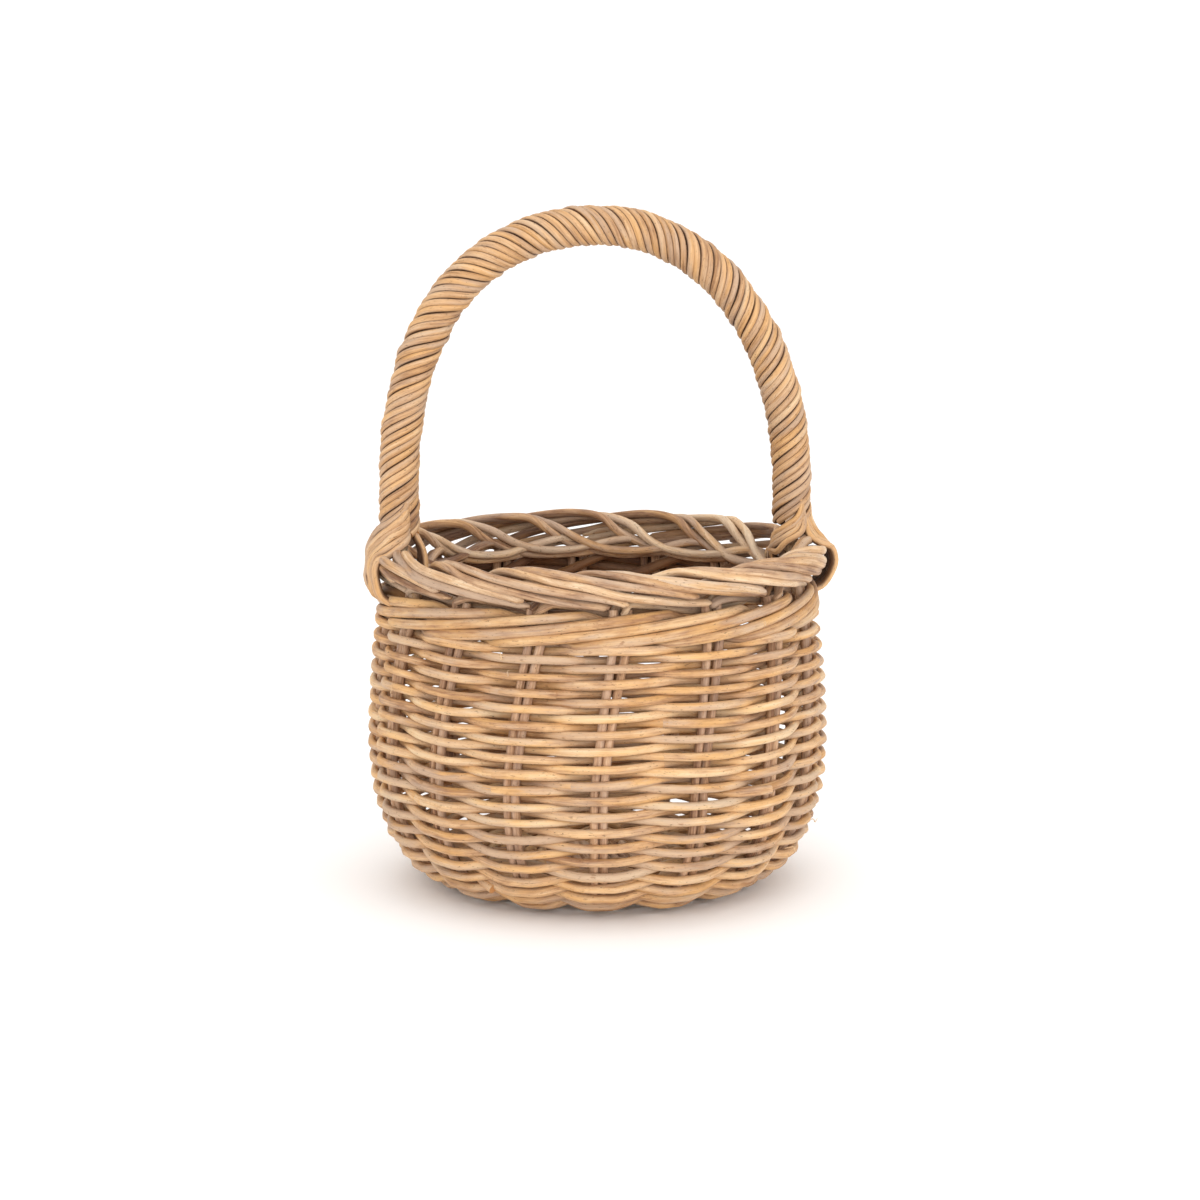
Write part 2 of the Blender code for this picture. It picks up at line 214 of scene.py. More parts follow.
def strandPiece(name, strands, finish, node, sides=10):
    # skins every strand of a piece as a round tube with closed ends, in place of one node of the frame
    corners, quads, tris, lay, tones, cuts, paintedShades = [], [], [], [], [], [], []
    base = 0
    ringTurn = np.linspace(0, 2 * math.pi, sides, endpoint=False)
    for one in strands:
        points = one["points"]
        count = len(points)
        across, over = one["frames"] if "frames" in one else sectionFrames(points)
        squash = 1 + 0.05 * np.cos(2 * ringTurn + one.get("turn", one["start"]))
        ring = (np.cos(ringTurn) * squash)[None, :, None] * across[:, None, :]
        ring = ring + (np.sin(ringTurn) * squash)[None, :, None] * over[:, None, :]
        tube = points[:, None, :] + ring * one["thick"][:, None, None]
        run = np.concatenate([[0], np.cumsum(np.linalg.norm(np.diff(points, axis=0), axis=1))])
        place = np.empty((count, sides, 3))
        place[:, :, 0] = run[:, None] + one["start"]
        place[:, :, 1] = np.cos(ringTurn)[None, :] * one["thick"][:, None]
        place[:, :, 2] = np.sin(ringTurn)[None, :] * one["thick"][:, None]
        # the cut faces have rings of their own, so that the end stays crisp
        caps = np.concatenate([tube[0], tube[-1], points[:1], points[-1:]])
        middles = [[one["start"], 0, 0], [run[-1] + one["start"], 0, 0]]
        capPlace = np.concatenate([place[0], place[-1], middles])
        corners += [tube.reshape(-1, 3), caps]
        lay += [place.reshape(-1, 3), capPlace]
        tones.append(np.full((count + 2) * sides + 2, one["tone"]))
        endCuts = np.array(one["cuts"])
        cuts += [np.zeros(count * sides), np.repeat(endCuts, sides), endCuts]
        # the painted shade of every point, one value for each side of the tube
        paintedShade = one["paintedShade"] if one["paintedShade"].ndim == 2 else np.repeat(one["paintedShade"][:, None], sides, axis=1)
        paintedShades += [paintedShade.ravel(), paintedShade[0], paintedShade[-1], paintedShade[[0, -1], 0]]
        rows = base + np.arange(count - 1)[:, None] * sides
        side = np.arange(sides)[None, :]
        nextSide = (side + 1) % sides
        quads.append(np.stack([rows + side, rows + nextSide, rows + sides + nextSide, rows + sides + side],
                              axis=2).reshape(-1, 4))
        firstRing = base + count * sides + np.arange(sides)
        firstNext = np.roll(firstRing, -1)
        firstMiddle = np.full(sides, base + (count + 2) * sides)
        tris.append(np.stack([firstNext, firstRing, firstMiddle], axis=1))
        tris.append(np.stack([firstRing + sides, firstNext + sides, firstMiddle + 1], axis=1))
        base += (count + 2) * sides + 2
    corners = np.concatenate(corners).astype(np.float32)
    quads = np.concatenate(quads)
    tris = np.concatenate(tris)
    mesh = bpy.data.meshes.new(name)
    mesh.vertices.add(len(corners))
    mesh.vertices.foreach_set("co", corners.ravel())
    loops = np.concatenate([quads.ravel(), tris.ravel()]).astype(np.int32)
    starts = np.concatenate([np.arange(len(quads)) * 4, len(quads) * 4 + np.arange(len(tris)) * 3])
    mesh.loops.add(len(loops))
    mesh.loops.foreach_set("vertex_index", loops)
    mesh.polygons.add(len(starts))
    mesh.polygons.foreach_set("loop_start", starts.astype(np.int32))
    mesh.update(calc_edges=True)
    mesh.validate()
    for label, kind, values in (("lay", "FLOAT_VECTOR", lay), ("tone", "FLOAT", tones),
                                ("cut", "FLOAT", cuts), ("paintedShade", "FLOAT", paintedShades)):
        values = np.concatenate(values)
        field = "vector" if kind == "FLOAT_VECTOR" else "value"
        made = mesh.attributes.new(label, kind, "POINT")
        made.data.foreach_set(field, values.astype(np.float32).ravel())
    mesh.shade_smooth()
    mesh.materials.append(finish)
    piece = bpy.data.objects.new(name, mesh)
    bpy.context.scene.collection.objects.link(piece)
    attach(piece, "root")
    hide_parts(node)


def linear(code):
    # sRGB hex to the linear colour a shader wants
    parts = [int(code[i:i + 2], 16) / 255 for i in (1, 3, 5)]
    return tuple(p / 12.92 if p <= 0.04045 else ((p + 0.055) / 1.055) ** 2.4 for p in parts) + (1,)


def addNode(tree, kind, inputs, settings=None):
    # an input is either another node's output, which is linked, or a plain value
    node = tree.nodes.new(kind)
    for key, value in (settings or {}).items():
        setattr(node, key, value)
    for key, value in inputs.items():
        if isinstance(value, bpy.types.NodeSocket):
            tree.links.new(value, node.inputs[key])
        else:
            node.inputs[key].default_value = value
    return node


def sandedRattan(name, look):
    # natural rattan, cleaned and sanded but not varnished: a dry, softly shining skin with long fibres,
    # mottled from straw to brown, some greyed stretches, dark pores and raw cut ends, with painted shade
    # added in the recesses and grooves
    finish = bpy.data.materials.new(name)
    finish.use_nodes = True
    tree = finish.node_tree
    shader = tree.nodes["Principled BSDF"]
    lay = addNode(tree, "ShaderNodeAttribute", {}, {"attribute_name": "lay"}).outputs["Vector"]
    tone, cut, paintedShade = [addNode(tree, "ShaderNodeAttribute", {}, {"attribute_name": label}).outputs["Fac"]
                      for label in ("tone", "cut", "paintedShade")]

    def markings(lengthMm, widthMm, detail):
        # noise drawn out along the cane: the length and the width of its marks
        stretch = (1 / (lengthMm * mm), 1 / (widthMm * mm), 1 / (widthMm * mm))
        scaled = addNode(tree, "ShaderNodeVectorMath", {0: lay, 1: stretch}, {"operation": "MULTIPLY"})
        return addNode(tree, "ShaderNodeTexNoise", {"Vector": scaled.outputs[0], "Scale": 1.0,
                                                    "Detail": detail, "Roughness": 0.6}).outputs["Fac"]

    fibres = markings(26, 0.34, 3)  # a real fibre is about 0.1 mm, drawn coarser so that it shows
    streaks = markings(34, 0.95, 2)
    patches = markings(9, 2.4, 4)
    drift = markings(55, 9, 2)
    pores = markings(1.7, 0.55, 2)
    scars = markings(4.5, 1.5, 3)
    grey = markings(30, 5, 3)

    # how light the cane is: its own tone, then its markings
    shade = addNode(tree, "ShaderNodeMath", {0: tone, 1: look["toneShare"]},
                    {"operation": "MULTIPLY"}).outputs[0]
    for marks, reach in ((patches, 0.24), (drift, 0.2), (fibres, 0.16), (streaks, 0.2)):
        change = addNode(tree, "ShaderNodeMapRange", {"Value": marks, "From Min": 0.3, "From Max": 0.7,
                                                      "To Min": -reach, "To Max": reach})
        shade = addNode(tree, "ShaderNodeMath", {0: shade, 1: change.outputs[0]},
                        {"operation": "ADD"}).outputs[0]
    shade = addNode(tree, "ShaderNodeMath", {0: shade, 1: 0.5 - look["toneShare"] / 2},
                    {"operation": "ADD", "use_clamp": True}).outputs[0]
    ramp = addNode(tree, "ShaderNodeValToRGB", {"Fac": shade})
    stops = ramp.color_ramp.elements
    stops[0].color = linear(look["deep"])
    stops[1].color = linear(look["pale"])
    for position, code in ((0.3, look["brown"]), (0.62, look["straw"])):
        stops.new(position).color = linear(code)
    colour = ramp.outputs["Color"]

    # one cane in three is greyer all along, and every cane has its own greyed or golden stretches
    spread = addNode(tree, "ShaderNodeMath", {0: tone, 1: 7.31}, {"operation": "MULTIPLY"})
    spread = addNode(tree, "ShaderNodeMath", {0: spread.outputs[0]}, {"operation": "FRACT"})
    ownGrey = addNode(tree, "ShaderNodeMapRange", {"Value": spread.outputs[0], "From Min": 0.6,
                                                   "From Max": 0.95, "To Min": 0.0, "To Max": 0.16})
    greyed = addNode(tree, "ShaderNodeMath", {0: grey, 1: ownGrey.outputs[0]},
                     {"operation": "ADD"}).outputs[0]

    # each layer: what drives it, from and to what value, its share at each of them, its colour. The
    # multiplying layer is painted shade: it darkens the runs behind the stakes and in the grooves between
    # canes, where shade falls
    layers = (
        (greyed, 0.5, 0.68, 0.0, look["greyShare"], "grey", "MIX"),
        (grey, 0.34, 0.48, look["goldShare"], 0.0, "gold", "MIX"),
        (scars, 0.63, 0.72, 0.0, 0.6, "scar", "MIX"),
        (pores, 0.64, 0.72, 0.0, 0.7, "pore", "MIX"),
        (paintedShade, 0.0, 1.0, 0.0, look["paintedShadeShare"], "paintedShadeColour", "MULTIPLY"),
        (cut, 0.0, 1.0, 0.0, 1.0, "cutEnd", "MIX"),
    )
    for driver, low, high, shareLow, shareHigh, code, blend in layers:
        share = addNode(tree, "ShaderNodeMapRange", {"Value": driver, "From Min": low, "From Max": high,
                                                     "To Min": shareLow, "To Max": shareHigh})
        colour = addNode(tree, "ShaderNodeMix", {0: share.outputs[0], 6: colour, 7: linear(look[code])},
                         {"data_type": "RGBA", "blend_type": blend}).outputs[2]
    rough = addNode(tree, "ShaderNodeMapRange",
                    {"Value": patches, "From Min": 0.3, "From Max": 0.7,
                     "To Min": look["rough"] - 0.07, "To Max": look["rough"] + 0.09})
    tree.links.new(colour, shader.inputs["Base Color"])
    tree.links.new(rough.outputs[0], shader.inputs["Roughness"])
    shader.inputs["IOR"].default_value = 1.48
    shader.inputs["Specular IOR Level"].default_value = 0.42

    # the relief: raised fibres, uneven patches and sunken pores
    raised = addNode(tree, "ShaderNodeMath", {0: fibres, 1: 0.7}, {"operation": "MULTIPLY"})
    uneven = addNode(tree, "ShaderNodeMath", {0: patches, 1: 0.5}, {"operation": "MULTIPLY"})
    relief = addNode(tree, "ShaderNodeMath", {0: raised.outputs[0], 1: uneven.outputs[0]},
                     {"operation": "ADD"})
    sunken = addNode(tree, "ShaderNodeMapRange", {"Value": pores, "From Min": 0.6, "From Max": 0.76,
                                                  "To Min": 0.0, "To Max": 0.5})
    relief = addNode(tree, "ShaderNodeMath", {0: relief.outputs[0], 1: sunken.outputs[0]},
                     {"operation": "SUBTRACT"})
    bump = addNode(tree, "ShaderNodeBump", {"Strength": look["bump"], "Distance": 0.35 * mm,
                                            "Height": relief.outputs[0]})
    tree.links.new(bump.outputs["Normal"], shader.inputs["Normal"])
    return finish


# each look also holds the colour and the strength of the painted shade that darkens the canes in recesses
# and grooves, where shade falls
weaverLook = {
    "pale": "#DFC39B", "straw": "#D8B184", "brown": "#C0956B", "deep": "#966B48",
    "grey": "#B9A08A", "greyShare": 0.62, "gold": "#D9A561", "goldShare": 0.5, "scar": "#8A5A34",
    "pore": "#553419", "paintedShadeColour": "#A88F78", "paintedShadeShare": 0.3, "cutEnd": "#BE8650",
    "toneShare": 0.5, "rough": 0.6, "bump": 0.7,
}
stakeLook = dict(weaverLook, pale="#DCBC9D", straw="#C6A080", brown="#9B7456", deep="#68452F",
                 grey="#AA9180", greyShare=0.45, goldShare=0.15, rough=0.62)
waleLook = dict(weaverLook, pale="#DBBB91", straw="#CFA87B", brown="#B58A61", paintedShadeColour="#7A583D",
                paintedShadeShare=0.85, toneShare=0.55)
borderLook = dict(weaverLook, pale="#DFC5A4", straw="#C9A580", brown="#A88160", deep="#77533A",
                  greyShare=0.66, goldShare=0.3, paintedShadeColour="#755440", paintedShadeShare=0.5, toneShare=0.7,
                  cutEnd="#A98058")
wrapLook = dict(weaverLook, pale="#D9BA92", straw="#CEA57A", brown="#B88D63", deep="#8C6343", goldShare=0.4,
                toneShare=0.32, paintedShadeColour="#553A28", paintedShadeShare=0.9)
coreLook = dict(weaverLook, pale="#F0DCC0", straw="#DEC09A", brown="#C39B70", deep="#94704C",
                cutEnd="#D9B68A", goldShare=0.1)
weaverCane = sandedRattan("sandedRattanWeaver", weaverLook)
stakeCane = sandedRattan("sandedRattanStake", stakeLook)
waleCane = sandedRattan("sandedRattanWale", waleLook)
borderCane = sandedRattan("sandedRattanBorder", borderLook)
wrapCane = sandedRattan("sandedRattanWrap", wrapLook)
coreCane = sandedRattan("sandedRattanCore", coreLook)
print("rattan finishes ready")

# Stakes: sixteen long canes crossed under the basket, each pair turned up the wall
stakes = {
    "crossPitch": 4.2 * mm,
    "arm": 16.8 * mm,
    "bendRun": 4.7 * mm,
    "radius": 1.92 * mm,
    "lift": 4.0 * mm,
    "pairLow": 1.83 * mm,
    "pairHigh": 2.65 * mm,
    "partFrom": 82 * mm,
    "partTo": 126 * mm,
    "wander": 0.12 * mm,
    "points": 40,
    # painted shade along every stake, which lies hidden between the weavers
    "paintedShade": 0.2,
}


def stakeArm(pair, side, crossing, upper):
    # from the middle of the base outward and up to the border, along +X, or along +Y when upper
    angle = pairStep * (pair + 0.5)
    towards = math.pi / 2 - angle if upper else angle
    bend = stakes["arm"] + stakes["bendRun"] - crossing * math.tan(towards / 2)
    low = wall["floorHeight"]
    count = stakes["points"]
    radius, height = onWall(np.linspace(0, runAtTop, count), 0)
    parting = (stakes["partFrom"], stakes["partTo"])
    apart = np.interp(height, parting, (stakes["pairLow"], stakes["pairHigh"]))
    wander = slowWave(np.linspace(0, 5, count), stakes["wander"], 1, 3) * np.linspace(0, 1, count)
    sideways = side * apart + wander
    up = np.stack([radius * math.cos(angle) - sideways * math.sin(angle),
                   radius * math.sin(angle) + sideways * math.cos(angle), height], axis=1)
    if upper:
        over = low + stakes["lift"]
        lead = np.array([[crossing, 0, over], [crossing, bend * 0.6, over], [crossing, bend, over]])
        landing = lead[-1] + (up[0] - lead[-1]) * 0.35
        landing[2] = low
        return np.vstack([lead, landing[None, :], up])
    lead = np.array([[0, crossing, low], [bend * 0.6, crossing, low], [bend, crossing, low]])
    return np.vstack([lead, up])


def buildStakes():
    half = wall["pairs"] // 4
    for number in range(half):
        crossing = stakes["crossPitch"] * (number + 0.5)
        pair = number // 2
        side = 1 if number % 2 else -1
        for label, flip in (("a", 1), ("b", -1)):
            for axis in ("x", "y"):
                arms = []
                for way in (-1, 1):
                    if axis == "x":
                        arm = stakeArm(pair, side, crossing, False) * (way, flip, 1)
                    else:
                        arm = stakeArm(half - 1 - pair, -side, crossing, True) * (flip, way, 1)
                    arms.append(turnToPairs(arm))
                path = smoothRun(np.vstack([arms[0][:0:-1], arms[1]]), 2.5 * mm)
                name = f"stake_{axis}_{number + 1}{label}"
                radius = stakes["radius"] * rng.uniform(0.93, 1.04)
                one = strand(path, radius, paintedShade=stakes["paintedShade"], cuts=(0.0, 0.0))
                strandPiece(name + "_cane", [one], stakeCane, name)


buildStakes()
print("stakes woven in")

# Weavers: plain weave round the pairs, out past one and in behind the next
weavers = {
    "rounds": 39,
    "bands": 9,
    "radius": 1.9 * mm,
    "spread": 0.12 * mm,
    "thinnest": 1.6 * mm,
    "thickest": 2.05 * mm,
    "swing": 3.2 * mm,
    "flatness": 1.14,
    "wander": 0.13 * mm,
    "unevenness": 0.16 * mm,
    "sharedRise": 0.3 * mm,
    "sharedBeats": 9,
    "jostle": 0.2 * mm,
    "step": 2.3 * mm,
    "firstRun": 1.8 * mm,
    "lap": 0.3,
    "tuckTurn": 0.12,
    "tuckIn": 2.4 * mm,
    "endOut": 2.6 * mm,
    "looseEnds": {7: 3.95, 13: 0.7, 20: 5.3, 27: 2.4, 33: 4.33},
    "hairs": 16,
    "hairLift": (2.6, 5.0, 6.3, 6.8),
    "hairRadius": 0.2 * mm,
    "baseRounds": 12,
    "baseInner": 23 * mm,
    "baseGap": 1.2 * mm,
    "baseRadius": 1.68 * mm,
    "baseSwing": 3.1 * mm,
    "baseGrowth": 0.35 * mm,
}


def weaverRound(number, run, radius, sharedRise, swing, endTurn=None):
    # one round: it starts and ends tucked behind a pair, unless its end is left outside
    startPair = int(rng.integers(0, wall["pairs"]))
    start = pairStep * (startPair + 0.5) - weavers["tuckTurn"]
    if endTurn is not None:
        start = endTurn - weavers["lap"]
    reach = wall["baseRadius"] + run if run < 0 else float(np.interp(run, profileRun, profileRadius))
    whole = 2 * math.pi + weavers["lap"]
    count = max(int(2 * math.pi * reach / weavers["step"]), 60)
    turns = np.linspace(start, start + whole, count)
    parity = 1 if number % 2 else -1
    pairTurns = turns - float(leanAt(np.interp(run, profileRun, profileHeight)))
    pairTurns = pairTurns - shiftAt(pairTurns) - pairStep / 2
    beat = np.cos(wall["pairs"] / 2 * pairTurns) * parity
    shape = np.clip(weavers["flatness"] * beat, -1, 1)
    shape = shape * (1 + 0.045 * rng.normal()) + 0.045 * slowWave(turns, 1, 3, 9)
    rise = sharedRise(turns) + slowWave(turns, weavers["wander"], 2, 12)
    # crossing rounds push each other up and down a little between the pairs
    rise = rise + parity * weavers["jostle"] * np.sin(wall["pairs"] * pairTurns)
    tuck = np.zeros(count)
    lap = int(count * weavers["lap"] / whole)
    tuck[-lap:] = np.linspace(0, -weavers["tuckIn"] if endTurn is None else weavers["endOut"], lap)
    across, height = onWall(run + rise, shape * swing + tuck)
    # painted shade, full on the runs that pass behind the pairs, fading to none on the outermost passes
    paintedRecessShade = np.clip(0.35 - 0.65 * shape, 0, 1)
    return strand(ringPoints(turns, across, height), radius, paintedShade=paintedRecessShade)


def sharedWaves(size, beats):
    # neighbouring rounds ride up and down together
    phases = rng.uniform(0, 2 * math.pi, beats)
    strengths = rng.normal(size=beats) * size

    def wave(turns):
        return sum(strength * np.sin((beat + 1) * turns + phase)
                   for beat, (strength, phase) in enumerate(zip(strengths, phases)))
    return wave


def buildWall():
    rounds = weavers["rounds"]
    pitch = (runAtWale - weavers["firstRun"]) / rounds
    lowWave = sharedWaves(weavers["sharedRise"], weavers["sharedBeats"])
    highWave = sharedWaves(weavers["sharedRise"], weavers["sharedBeats"])
    bands = weavers["bands"]
    groups = {}
    for number in range(rounds):
        share = number / rounds

        def rise(turns, share=share):
            fade = math.sin(math.pi * share)
            return fade * (lowWave(turns) * (1 - share) + highWave(turns) * share)

        run = weavers["firstRun"] + pitch * (number + 0.5) + rng.normal() * weavers["unevenness"]
        radius = weavers["radius"] + rng.normal() * weavers["spread"]
        radius = min(max(radius, weavers["thinnest"]), weavers["thickest"])
        # a few rounds end on the outside of the wall, with a cut end that shows
        endTurn = weavers["looseEnds"].get(number)
        one = weaverRound(number, run, radius, rise, weavers["swing"], endTurn)
        groups.setdefault(number * bands // rounds + 1, []).append(one)
    for hair in range(weavers["hairs"]):
        # a stray fibre, lifted from the skin of a cane
        turn = rng.uniform(0, 2 * math.pi)
        run = rng.uniform(20 * mm, runAtWale)
        lift = np.array(weavers["hairLift"]) * mm
        sideways = np.cumsum(rng.uniform(-0.01, 0.035, 4))
        radius, height = onWall(run + np.cumsum(rng.uniform(-1.5, 2.5, 4)) * mm, lift)
        points = smoothRun(ringPoints(turn + sideways, radius, height), 0.8 * mm)
        band = int(rng.integers(1, bands + 1))
        groups[band].append(strand(points, weavers["hairRadius"], 0.9, taper=(1.0, 0.3)))
    for band, strands in groups.items():
        strandPiece(f"wall_weavers_{band:02d}", strands, weaverCane, f"wall_weave_{band:02d}")


def buildBase():
    rounds = weavers["baseRounds"]
    inner = weavers["baseInner"] - wall["baseRadius"]
    strands = []
    for number in range(rounds):
        run = inner + (weavers["firstRun"] - weavers["baseGap"] - inner) * (number + 0.5) / rounds
        swing = weavers["baseSwing"] + weavers["baseGrowth"] * number / rounds
        strands.append(weaverRound(number + 1, run, weavers["baseRadius"], lambda turns: 0 * turns, swing))
    half = rounds // 2
    strandPiece("base_weavers_inner", strands[:half], weaverCane, "base_weave_over")
    strandPiece("base_weavers_outer", strands[half:], weaverCane, "base_weave_under")


buildWall()
buildBase()
print("wall and base woven")

# Wale: four thicker canes, each out past three pairs and in behind the fourth, climbing as it goes
wale = {
    "canes": 4,
    "radius": 2.14 * mm,
    "middle": 126.2 * mm,
    "climb": 11.9 * mm,
    "out": 3.8 * mm,
    "inside": 3.6 * mm,
    "behind": 0.115,
    "easeIn": 0.065,
    "fanOut": 0.5 * mm,
    "wander": 0.12 * mm,
    "lap": 0.25,
    "points": 300,
    "sides": 12,
}


def waleCanePath(cane, middleRun):
    # the path of one cane, and how far behind the pairs each of its points is
    canes = wale["canes"]
    start = pairStep * (cane * canes + 1.5)
    turns = np.linspace(start, start + 2 * math.pi + wale["lap"], wale["points"])
    phase = (((turns - wall["lean"]) / pairStep - 0.5 - cane) / canes) % 1
    behind = wale["behind"]
    nearest = np.minimum(phase, 1 - phase)
    inside = 0.5 - 0.5 * np.tanh((nearest - behind) / wale["easeIn"])
    offset = wale["out"] * (1 - inside) - wale["inside"] * inside
    climb = np.where(phase < behind, -phase / behind, np.where(phase > 1 - behind, (1 - phase) / behind,
                     (phase - 0.5) / (0.5 - behind)))
    climb = np.sin(climb * math.pi / 2) * 0.35 + climb * 0.65
    climb = climb + slowWave(turns, 0.03, 2, 8)
    offset = offset + wale["fanOut"] * (phase - 0.5) * (1 - inside) + slowWave(turns, wale["wander"], 2, 8)
    across, height = onWall(middleRun + climb * wale["climb"] / 2, offset)
    return ringPoints(turns, across, height), inside


def buildWale():
    middleRun = float(np.interp(wale["middle"], profileHeight, profileRun))
    strands = []
    for cane in range(wale["canes"]):
        path, inside = waleCanePath(cane, middleRun)
        one = strand(path, wale["radius"] * rng.uniform(0.94, 1.06))
        one["frames"] = outwardFrames(path, path * (0, 0, 1))
        # painted shade in the grooves between the canes and on the runs behind the pairs
        one["paintedShade"] = np.maximum(paintedGrooveShade(len(path), wale["sides"], 0.4, 0.9), inside[:, None] * 0.7)
        strands.append(one)
    strandPiece("wale_canes_low", strands[:2], waleCane, "top_wale_1", wale["sides"])
    strandPiece("wale_canes_high", strands[2:], waleCane, "top_wale_2", wale["sides"])


buildWale()
print("wale woven")

# Border: each pair of stake ends leans over, runs up the inside, rolls over the top and comes
# down slanting outside. Each row of the route is pair spacings round, radius and height, in mm.
border = {
    "radius": 1.87 * mm,
    "halfPair": 1.95 * mm,
    "rollRadius": 89.5 * mm,
    "rollHeight": 143 * mm,
    "spacing": 36.5,
    "step": 2.2,
    "sides": 12,
    "endRun": 9 * mm,
    "endThin": 0.4,
    "outside": 9,
    "route": (
        (0.00, 89.2, 132.0), (0.03, 89.0, 136.0), (0.18, 87.8, 138.6), (0.45, 85.2, 137.6),
        (0.80, 83.2, 135.0), (1.20, 82.4, 133.6), (1.60, 82.6, 134.4), (1.98, 83.6, 138.0),
        (2.32, 85.8, 144.0), (2.62, 89.0, 148.8), (2.92, 92.8, 149.6), (3.24, 96.0, 148.2),
        (3.58, 97.9, 146.2), (3.98, 98.0, 143.8), (4.38, 96.6, 141.4), (4.74, 94.4, 139.2),
        (5.02, 92.8, 137.0),
    ),
}


def buildBorder():
    rolls = {"outer": [], "top": [], "inner": []}
    route = np.array(border["route"])
    for pair in range(wall["pairs"]):
        for half in (-1, 1):
            angle = pairStep * (pair + 0.5) + wall["lean"] + pairShift[pair]
            rows = route.copy()
            rows[:, 0] += rng.normal(size=len(rows)) * 0.03
            rows[:, 1:] += rng.normal(size=(len(rows), 2)) * 0.25
            # outside the roll the two of a pair stand out differently, and each pair has its own height
            rows[border["outside"]:-1, 1] += half * rng.uniform(0.2, 0.9)
            rows[border["outside"]:, 2] += rng.normal() * 0.45
            rows[0] = route[0]
            run = smoothRun(rows * (border["spacing"], 1, 1), border["step"])
            turns = angle + run[:, 0] / border["spacing"] * pairStep
            # the pair lies side by side, square to its path and flat on the roll
            middle = ringPoints(turns, run[:, 1] * mm, run[:, 2] * mm)
            even = np.ones(len(turns))
            centre = ringPoints(turns, even * border["rollRadius"], even * border["rollHeight"])
            over = outwardFrames(middle, centre)[1]
            early = np.clip(1 - np.linspace(0, 6, len(turns)), 0, 1)
            apart = half * (border["halfPair"] + (stakes["pairHigh"] - border["halfPair"]) * early)
            path = middle - over * apart[:, None]
            startRadius, startHeight = route[0, 1:] * mm
            sideways = half * stakes["pairHigh"]
            path[0] = (startRadius * math.cos(angle) - sideways * math.sin(angle),
                       startRadius * math.sin(angle) + sideways * math.cos(angle), startHeight)
            keep = len(path) - int(rng.integers(0, 5))
            path = path[:keep]
            one = strand(path, border["radius"] * rng.uniform(0.92, 1.08), taper=(1.0, border["endThin"]),
                         taperRun=border["endRun"], cuts=(0.0, 0.6))
            one["frames"] = outwardFrames(path, centre[:keep])
            # painted shade in the grooves between the canes of the roll
            one["paintedShade"] = paintedGrooveShade(keep, border["sides"], 0.4, 1.0)
            rolls[("outer", "top", "inner")[pair % 3]].append(one)
    for roll, strands in rolls.items():
        strandPiece(f"border_canes_{roll}", strands, borderCane, f"border_{roll}_roll",
                    border["sides"])


buildBorder()
print("border rolled")

# Bow: a core rod under canes wound round it in a right-handed spiral
bow = {
    "halfSpan": 87.5 * mm,
    "legTop": 171 * mm,
    "crown": 287.8 * mm,
    "foot": 157 * mm,
    "step": 1.2 * mm,
    "leftShoulder": 4.9 * mm,
    "rightShoulder": 1.3 * mm,
    "canes": 9,
    "caneRadius": 1.68 * mm,
    "wound": 7.0 * mm,
    "pitch": 33 * mm,
    "looseness": 0.22 * mm,
    "joints": (0.36, 0.64),
    "sides": 16,
    "coreRadius": 5.3 * mm,
    "coreSides": 16,
    "corePath": ((91.0, 120), (89.5, 133), (87.2, 141), (87.0, 150)),
    "coreTaper": ((120, 2.2), (140, 2.6), (152, 3.4), (158, 5.3), (300, 5.3)),
}


def bowLine():
    # the middle line of the bow, from foot to foot: run, place and direction at even steps
    turn = np.linspace(0, math.pi, 400)
    across = -bow["halfSpan"] * np.cos(turn)
    height = bow["legTop"] + (bow["crown"] - bow["legTop"]) * np.sin(turn)
    # the bow was bent by hand: its left shoulder stands out further than its right
    push = np.where(turn < math.pi / 2, bow["leftShoulder"], bow["rightShoulder"]) * np.sin(2 * turn) ** 2
    across = across - push * np.cos(turn)
    height = height + push * np.sin(turn)
    leg = np.linspace(bow["foot"], bow["legTop"], 60, endpoint=False)
    x = np.concatenate([np.full(60, -bow["halfSpan"]), across, np.full(60, bow["halfSpan"])])
    z = np.concatenate([leg, height, leg[::-1]])
    run = np.concatenate([[0], np.cumsum(np.hypot(np.diff(x), np.diff(z)))])
    wanted = np.linspace(0, run[-1], int(run[-1] / bow["step"]))
    x = np.interp(wanted, run, x)
    z = np.interp(wanted, run, z)
    slopeX = np.gradient(x, wanted)
    slopeZ = np.gradient(z, wanted)
    size = np.hypot(slopeX, slopeZ)
    return wanted, x, z, slopeX / size, slopeZ / size


